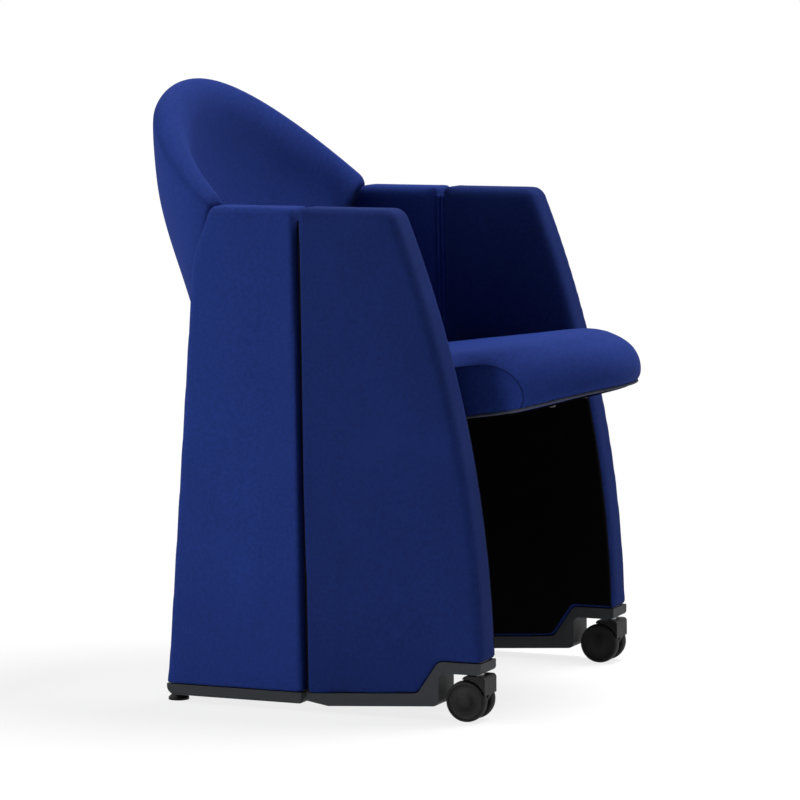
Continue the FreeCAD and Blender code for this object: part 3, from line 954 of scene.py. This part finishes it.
def seat_half_width(y):
    """Half the width of the seat at a distance behind the seam."""
    return SEAT_HALF_WIDTH - SEAT_TAPER * (SEAT_REAR - y) / (SEAT_REAR + SEAT_NOSE)


def seat_nose(share):
    """Where the seat ends in front at a share of its half width."""
    return -SEAT_NOSE + SEAT_BOW * abs(share) ** 2.2


def seat_lift(y):
    """How far the underside rises towards the nose."""
    return SEAT_NOSE_LIFT * float(blend_step((-y - SEAT_LIFT_START) / SEAT_LIFT_RAMP))


def seat_under(y):
    """Height of the seat's underside."""
    return SEAT_LEVEL - y * SEAT_SLOPE - SEAT_THICK + seat_lift(y)


def seat_loop(share, slim):
    """The seat's cut at a share of its half width: rear edge, top, rounded nose, underside."""
    edge = abs(share) ** 14
    drop = SEAT_EDGE_DROP * edge + slim
    rear = SEAT_REAR - slim
    nose = seat_nose(share) + slim
    round_over = SEAT_NOSE_ROUND + SEAT_CORNER_ROUND * edge
    start = nose + round_over
    under_start = nose + SEAT_UNDER_ROUND
    loop = []

    def put(y, height):
        base = seat_under(y) + slim
        full = SEAT_THICK + SEAT_FILL - drop - slim - seat_lift(y)
        loop.append((share * (seat_half_width(y) - slim), y + SEAM_Y, base + height * full))

    for number in range(SEAT_REAR_STEPS + 1):
        put(rear, number / SEAT_REAR_STEPS)
    for number in range(1, SEAT_TOP_STEPS + 1):
        put(rear + (start - rear) * number / SEAT_TOP_STEPS, 1.0)
    for number in range(1, SEAT_NOSE_STEPS + 1):
        angle = math.pi / 2 * number / SEAT_NOSE_STEPS
        put(start - round_over * math.sin(angle), SEAT_NOSE_TIP + (1 - SEAT_NOSE_TIP) * math.cos(angle))
    for number in range(1, SEAT_UNDER_STEPS + 1):
        angle = math.pi / 2 * number / SEAT_UNDER_STEPS
        put(nose + SEAT_UNDER_ROUND * (1 - math.cos(angle)), SEAT_NOSE_TIP * (1 - math.sin(angle)))
    for number in range(1, SEAT_TOP_STEPS):
        put(under_start + (rear - under_start) * number / SEAT_TOP_STEPS, 0.0)
    return loop


class CHAIR_OT_seat_cover(bpy.types.Operator):
    """Make the seat cushion with its sewn edges and piping"""

    bl_idname = "chair.seat_cover"
    bl_label = "Seat Cover"

    def execute(self, context):
        sizes = context.scene.chair_sizes
        loops = [seat_loop(share, SEAT_SLIM) for share in seat_shares(24)]
        piece = mesh_piece("cover_seat", *loft(loops))

        def cap(points):
            top = SEAT_LEVEL - (points[:, 1] - SEAM_Y) * SEAT_SLOPE
            high = blend_step((points[:, 2] - top + SEAT_THICK * 0.75) / 0.03)
            edge = np.abs(points[:, 0]) / np.array([seat_half_width(y - SEAM_Y) for y in points[:, 1]])
            return 0.0015 + sizes.seat_swell * high * blend_step((0.99 - edge) / 0.10)

        stuff(piece, cap, SEAT_VOXEL)
        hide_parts("seat_cushion")
        dress(piece, "seat", "upholstery")
        for soft in (piece, *self.sew(piece, sizes)):
            self.give_way(soft)
        return {"FINISHED"}

    def give_way(self, piece):
        """Gives the piece its own copy of its mesh."""
        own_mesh(piece)

    def sew(self, cover, sizes):
        """Piping round the lower edge and a sewn line along each side's upper edge."""
        front = [seat_loop(share, 0.0)[NOSE_LAST - 3] for share in seat_shares(60)]
        left = seat_loop(1.0, 0.0)
        right = seat_loop(-1.0, 0.0)
        path = right[NOSE_LAST + 1::2][::-1] + front + left[NOSE_LAST + 1::2]
        piping = tube("piping_seat", on_cover(cover, path, -sizes.piping_radius * 0.3), sizes.piping_radius)
        dress(piping, "seat", "piping")
        sewn = [piping]
        for side, loop in (("left", left), ("right", right)):
            upper = on_cover(cover, loop[TOP_FIRST:NOSE_LAST - 2], 0.0002)
            seam = tube("seam_seat_" + side, upper, 0.0009, 6)
            sewn.append(dress(seam, "seat", "sewing"))
        return sewn


def wheel_cut(width, radius):
    """Cut of a caster wheel, as (radius, offset from its middle): back, rounded tyre, disc with hub cap."""
    half = width / 2
    tyre = []
    for number in range(9):
        angle = math.pi * number / 8
        tyre.append((radius - 0.0022 + 0.0022 * math.sin(angle), -half * math.cos(angle) * 0.98))
    lip = [(radius - 0.0042, half), (radius - 0.0050, half - 0.0012), (radius - 0.0078, half - 0.0016)]
    hub = [(0.0105, half - 0.0006), (0.0085, half + 0.0004), (0.0060, half + 0.0006), (0.0008, half + 0.0008)]
    back = [(0.0048, -half), (radius - 0.0060, -half), (radius - 0.0040, -half)]
    return back, tyre, lip + hub


def gusset(name, sign, low, high):
    """Strip of cloth that bridges the inner seam, with a crease down its middle."""
    half = ((0.0075, 0.0035), (0.0045, 0.0009), (0.0022, 0.0007), (0.0009, 0.0016), (0.0, 0.0036))
    cut = [(-away, deep) for away, deep in half] + list(half[-2::-1])
    thick = 0.0008
    rings = []
    steps = 60
    for number in range(steps + 1):
        z = low + (high - low) * number / steps
        y = seam_at(z) + SEAM_Y
        front = [(sign * (INNER_X + deep), y + away, z) for away, deep in cut]
        behind = [(sign * (INNER_X + deep + thick), y + away, z) for away, deep in cut[::-1]]
        rings.append(front + behind)
    piece = mesh_piece(name, *loft(rings))
    face_outward(piece)
    return piece


class CHAIR_OT_gussets(bpy.types.Operator):
    """Make the cloth strips that close the seams on the inside; below the seat they are black felt, painted
    shade
    """

    bl_idname = "chair.gussets"
    bl_label = "Inner Seam Strips"

    def execute(self, context):
        for side, sign in SIDES.items():
            self.strip("upper", "upholstery", side, sign, STRIP_SHADE_LEVEL, STRIP_TOP)
            # The lower strips, under the seat, take the black felt: painted shade
            self.strip("lower", "lining", side, sign, STRIP_FOOT, STRIP_SHADE_LEVEL)
        return {"FINISHED"}

    def strip(self, part, finish, side, sign, low, high):
        strip = gusset("seam_strip_%s_%s" % (part, side), sign, low, high)
        strip.data.materials.append(finish_named(finish))
        middle = (low + high) / 2
        y = seam_at(middle) + SEAM_Y
        y + 0.004
        y - 0.004
        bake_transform(strip)


def above_shade_felt(point):
    """How far a point of a side's outline lies above the felt's upper edge."""
    return point.y - (SEAT_LEVEL - point.x * SEAT_SLOPE - SEAT_THICK + SHADE_FELT_LAP)


def shade_felt_outline(outline):
    """Outline of a felt panel: inside its half, and cut off under the seat."""
    shrunk = inset(outline, [SHADE_FELT_INSET] * len(outline))
    kept = []
    for number, here in enumerate(shrunk):
        before = shrunk[number - 1]
        rise = above_shade_felt(here)
        rise_before = above_shade_felt(before)
        found = []
        if rise * rise_before < 0:
            found.append(before.lerp(here, rise_before / (rise_before - rise)))
        if rise <= 0:
            found.append(here)
        for place in found:
            if not kept or (place - kept[-1]).length > SHADE_FELT_POINT_GAP:
                kept.append(place)
    if (kept[0] - kept[-1]).length < SHADE_FELT_POINT_GAP:
        kept.pop()
    return kept


def shade_felt_panel(name, outline, sign, body, node):
    """Black felt over the lower inner face of a half, with a soft edge: painted shade, standing in for the
    deep shade under the seat.
    """
    edge = shade_felt_outline(outline)
    rings = []
    for depth, rise in ((0.0, -0.004), (0.0, 0.0032), (0.0006, 0.0038), (0.0016, 0.0040)):
        shrunk = inset(edge, [depth] * len(edge))
        rings.append([(sign * (INNER_X - rise), point.x + SEAM_Y, point.y) for point in shrunk])
    piece = mesh_piece(name, *loft(rings))
    face_outward(piece)
    for face in piece.data.polygons:
        face.use_smooth = len(face.vertices) == 4
    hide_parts(node)
    dress(piece, body, "lining")


class CHAIR_OT_shade_felt_panels(bpy.types.Operator):
    """Make the black felt panels inside the sides, painted shade under the seat"""

    bl_idname = "chair.felt_panels"
    bl_label = "Felt Panels"

    def execute(self, context):
        for side, sign in SIDES.items():
            # Black panels under the seat: painted shade
            shade_felt_panel("shade_felt_rear_" + side, rear_outline(), sign, "rear_unit", "rear_lining_" + side)
            shade_felt_panel("shade_felt_wing_" + side, wing_outline(), sign, "wing_" + side, "wing_lining_" + side)
        return {"FINISHED"}


def turned(name, middle, axis, cut, sides):
    """A piece turned about an axis through a point, from (radius, distance along the axis)."""
    axis = Vector(axis).normalized()
    up = axis.orthogonal().normalized()
    other = axis.cross(up)
    rings = []
    for reach, along in cut:
        ring = []
        for number in range(sides):
            angle = 2 * math.pi * number / sides
            spoke = up * math.cos(angle) + other * math.sin(angle)
            ring.append(Vector(middle) + axis * along + spoke * reach)
        rings.append(ring)
    piece = mesh_piece(name, *loft(rings))
    face_outward(piece)
    piece.data.set_sharp_from_angle(angle=SHARP_ANGLE)
    return piece


def board_loop(share):
    """The seat board's cut at a share of its half width."""
    rear = SEAT_REAR - 0.003
    front = seat_nose(share) + 0.022
    loop = []
    steps = 24
    for rise, numbers in ((0.0, range(steps + 1)), (BOARD_THICK, range(steps, -1, -1))):
        for number in numbers:
            y = rear + (front - rear) * number / steps
            loop.append((share * (seat_half_width(y) - 0.004), y + SEAM_Y, seat_under(y) + rise))
    return loop


class CHAIR_OT_seat_board(bpy.types.Operator):
    """Make the board under the cushion, in the black felt that paints the shade under the seat"""

    bl_idname = "chair.seat_board"
    bl_label = "Seat Board"

    def execute(self, context):
        board = mesh_piece("seat_board", *loft([board_loop(share) for share in seat_shares(24)]))
        face_outward(board)
        board.data.set_sharp_from_angle(angle=SHARP_ANGLE)
        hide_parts("seat_pan")
        dress(board, "seat", "lining")
        return {"FINISHED"}


class CHAIR_OT_pan_screws(bpy.types.Operator):
    """Make the screws that hold the seat board to the cushion"""

    bl_idname = "chair.pan_screws"
    bl_label = "Seat Board Screws"

    def execute(self, context):
        head = ((0.0062, -0.001), (0.0062, 0.0003), (0.0056, 0.0007), (0.0046, 0.0008), (0.0045, 0.0016),
                (0.0036, 0.0027), (0.0022, 0.0031), (0.0019, 0.0031), (0.0017, 0.0016), (0.0004, 0.0015))
        places = [(0.170, 0.115), (0.170, -0.030), (0.165, -0.160), (0.060, 0.115), (0.060, -0.270)]
        down = (0, -SEAT_SLOPE, -1)
        count = 0
        for x, y in places:
            for sign in SIDES.values():
                count += 1
                middle = (sign * x, y + SEAM_Y, seat_under(y))
                screw = turned("pan_screw_%d" % count, middle, down, head, 24)
                dress(screw, "seat", "painted_steel")
        return {"FINISHED"}


class CHAIR_OT_wheels(bpy.types.Operator):
    """Make the caster wheels with tyres and moulded discs"""

    bl_idname = "chair.wheels"
    bl_label = "Caster Wheels"

    def execute(self, context):
        for side, sign in SIDES.items():
            for place, outward in (("outer", sign), ("inner", -sign)):
                self.wheel("caster_wheel_%s_%s" % (place, side), "wheel_%s_%s" % (place, side), outward)
        return {"FINISHED"}

    def wheel(self, node, body, outward):
        low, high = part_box(node)
        middle = (low + high) / 2
        radius = (high.z - low.z) / 2
        back, tyre, disc = wheel_cut(high.x - low.x, radius)
        sides = 64
        piece = turned(node.replace("caster_", "turned_"), middle, (outward, 0, 0), back + tyre + disc, sides)
        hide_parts(node)
        dress(piece, body, "wheel")
        piece.data.materials.append(finish_named("rubber"))
        first = len(back) - 1
        for face in piece.data.polygons:
            row = face.vertices[0] // sides
            if len(face.vertices) == 4 and first <= row < first + len(tyre):
                face.material_index = 1


class CHAIR_OT_hard_finishes(bpy.types.Operator):
    """Give the frame's own solids their finishes"""

    bl_idname = "chair.hard_finishes"
    bl_label = "Hard Finishes"

    def execute(self, context):
        stems = {
            "base_trim": ("rear_trim", "wing_trim"),
            # The CAD's linings and seat pan take the black felt: painted shade inside the sides and under the
            # seat
            "lining": ("rear_lining", "wing_lining", "seat_pan"),
            "foot_plastic": ("rear_glide", "caster_hood"),
            "rubber": ("seat_stop", "seam_strip"),
            "core_board": ("back_core", "rear_core", "wing_core"),
            "painted_steel": ("back_bracket", "pivot_tube", "pivot_flange", "seat_arm"),
            "bright_steel": ("hinge_leaf", "hinge_pin", "caster_stem", "caster_axle"),
            "cast_mount": ("caster_mount",),
        }
        for finish, starts in stems.items():
            for name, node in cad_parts.items():
                if name.startswith(starts):
                    node.data.materials.clear()
                    node.data.materials.append(finish_named(finish))
        return {"FINISHED"}


class CHAIR_OT_stage(bpy.types.Operator):
    """Make the floor, the studio light and the camera"""

    bl_idname = "chair.stage"
    bl_label = "Stage"

    def execute(self, context):
        self.floor()
        self.lamps()
        self.world(context.scene)
        self.camera(context.scene)
        context.scene.view_settings.view_transform = "Standard"
        return {"FINISHED"}

    def seen(self, finish):
        """1 where the camera, a reflection or glass looks, 0 for light."""
        path = finish.add("ShaderNodeLightPath")
        outputs = path.socket.node.outputs
        kinds = [Wire(finish, outputs[name])
                 for name in ("Is Camera Ray", "Is Glossy Ray", "Is Transmission Ray")]
        return kinds[0].maths("MAXIMUM", kinds[0].maths("MAXIMUM", kinds[0], kinds[1]), kinds[2])

    def floor(self):
        reach = 90.0
        steps = [-reach, -6.0, -2.0, 2.0, 6.0, reach]
        points = [(x, y, 0.0) for y in steps for x in steps]
        count = len(steps)
        faces = []
        for row in range(count - 1):
            for column in range(count - 1):
                first = row * count + column
                faces.append((first, first + 1, first + count + 1, first + count))
        floor = mesh_piece("floor", points, faces)
        pale = Finish("pale_floor")
        speck = pale.noise(40.0, 2.0)
        tone = pale.mix(speck, (0.90, 0.90, 0.90), (0.93, 0.93, 0.93))
        lit = pale.add("ShaderNodeBsdfDiffuse", inputs={"Color": tone})
        white = pale.add("ShaderNodeEmission", inputs={"Color": (1, 1, 1, 1), "Strength": 1.0})
        x, y, z = pale.axes(pale.place())
        away = pale.ramp((x * x + y * y) ** 0.5, 0.45, 1.6)
        share = self.seen(pale) * (0.80 + away * 0.20)
        shared = pale.add("ShaderNodeMixShader", inputs={0: share, 1: lit, 2: white})
        pale.add("ShaderNodeOutputMaterial", inputs={"Surface": shared})
        floor.data.materials.append(pale.material)

    def lamp(self, name, place, aim, size, power):
        light = bpy.data.lights.new(name, "AREA")
        light.shape = "DISK"
        light.size = size
        light.energy = power
        lamp = bpy.data.objects.new(name, light)
        lamp.location = place
        lamp.rotation_euler = (Vector(aim) - Vector(place)).to_track_quat("-Z", "Y").to_euler()
        bpy.context.scene.collection.objects.link(lamp)

    def lamps(self):
        middle = (0.0, 0.0, 0.45)
        self.lamp("key_above", (0.8, -0.8, 3.2), middle, 1.5, 135.0)
        self.lamp("fill_side", (-3.6, 1.5, 0.5), middle, 1.0, 68.0)
        self.lamp("front_fill", (0.4, -3.6, 1.6), middle, 1.6, 6.0)
        self.lamp("rim_behind", (-1.2, 2.6, 2.6), middle, 1.4, 44.0)

    def world(self, scene):
        sky = bpy.data.worlds.new("studio")
        sky.use_nodes = True
        scene.world = sky
        room = Finish("studio_room", sky.node_tree)
        soft = room.add("ShaderNodeBackground", inputs={"Color": (1, 1, 1, 1), "Strength": 0.07})
        white = room.add("ShaderNodeBackground", inputs={"Color": (1, 1, 1, 1), "Strength": 1.0})
        shown = room.add("ShaderNodeMixShader", inputs={0: self.seen(room), 1: soft, 2: white})
        room.add("ShaderNodeOutputWorld", inputs={"Surface": shown})

    def camera(self, scene):
        lens = bpy.data.cameras.new("photo_camera")
        lens.sensor_width = 36.0
        lens.lens = 189.89
        lens.clip_end = 200.0
        lens.dof.use_dof = False
        camera = bpy.data.objects.new("photo_camera", lens)
        turn = math.radians(-66.39)
        tilt = math.radians(6.28)
        roll = math.radians(-0.42)
        distance = 5.8305
        target = Vector((0.05218, 0.0235, 0.38152))
        back = Vector((math.sin(turn) * math.cos(tilt), -math.cos(turn) * math.cos(tilt), math.sin(tilt)))
        camera.location = target + back * distance
        facing = back.to_track_quat("Z", "Y")
        camera.rotation_euler = (facing @ Euler((0, 0, roll)).to_quaternion()).to_euler()
        scene.collection.objects.link(camera)
        scene.camera = camera


OPERATORS = (
    CHAIR_OT_rear_covers,
    CHAIR_OT_wing_covers,
    CHAIR_OT_back_cover,
    CHAIR_OT_seat_cover,
    CHAIR_OT_gussets,
    CHAIR_OT_shade_felt_panels,
    CHAIR_OT_seat_board,
    CHAIR_OT_pan_screws,
    CHAIR_OT_wheels,
    CHAIR_OT_hard_finishes,
    CHAIR_OT_stage,
)


class CHAIR_PT_pieces(bpy.types.Panel):
    """Shows the chair's sizes and colours, and a button for each step that makes its pieces"""

    bl_idname = "CHAIR_PT_pieces"
    bl_label = "Conference Chair"
    bl_space_type = "VIEW_3D"
    bl_region_type = "UI"
    bl_category = "Chair"

    def draw(self, context):
        for group in (context.scene.chair_sizes, context.scene.chair_colours):
            box = self.layout.box()
            for name in group.__annotations__:
                box.prop(group, name)
        for operator in OPERATORS:
            self.layout.operator(operator.bl_idname)


CLASSES = (ChairSizes, ChairColours, *OPERATORS, CHAIR_PT_pieces)


def register():
    for entry in CLASSES:
        bpy.utils.register_class(entry)
    bpy.types.Scene.chair_sizes = PointerProperty(type=ChairSizes)
    bpy.types.Scene.chair_colours = PointerProperty(type=ChairColours)


def unregister():
    del bpy.types.Scene.chair_colours
    del bpy.types.Scene.chair_sizes
    for entry in reversed(CLASSES):
        bpy.utils.unregister_class(entry)


def main():
    register()
    bpy.ops.chair.stage()
    bpy.ops.chair.hard_finishes()
    bpy.ops.chair.rear_covers()
    bpy.ops.chair.wing_covers()
    bpy.ops.chair.back_cover()
    bpy.ops.chair.seat_cover()
    bpy.ops.chair.gussets()
    bpy.ops.chair.felt_panels()
    bpy.ops.chair.seat_board()
    bpy.ops.chair.pan_screws()
    bpy.ops.chair.wheels()


if __name__ == "__main__":
    main()
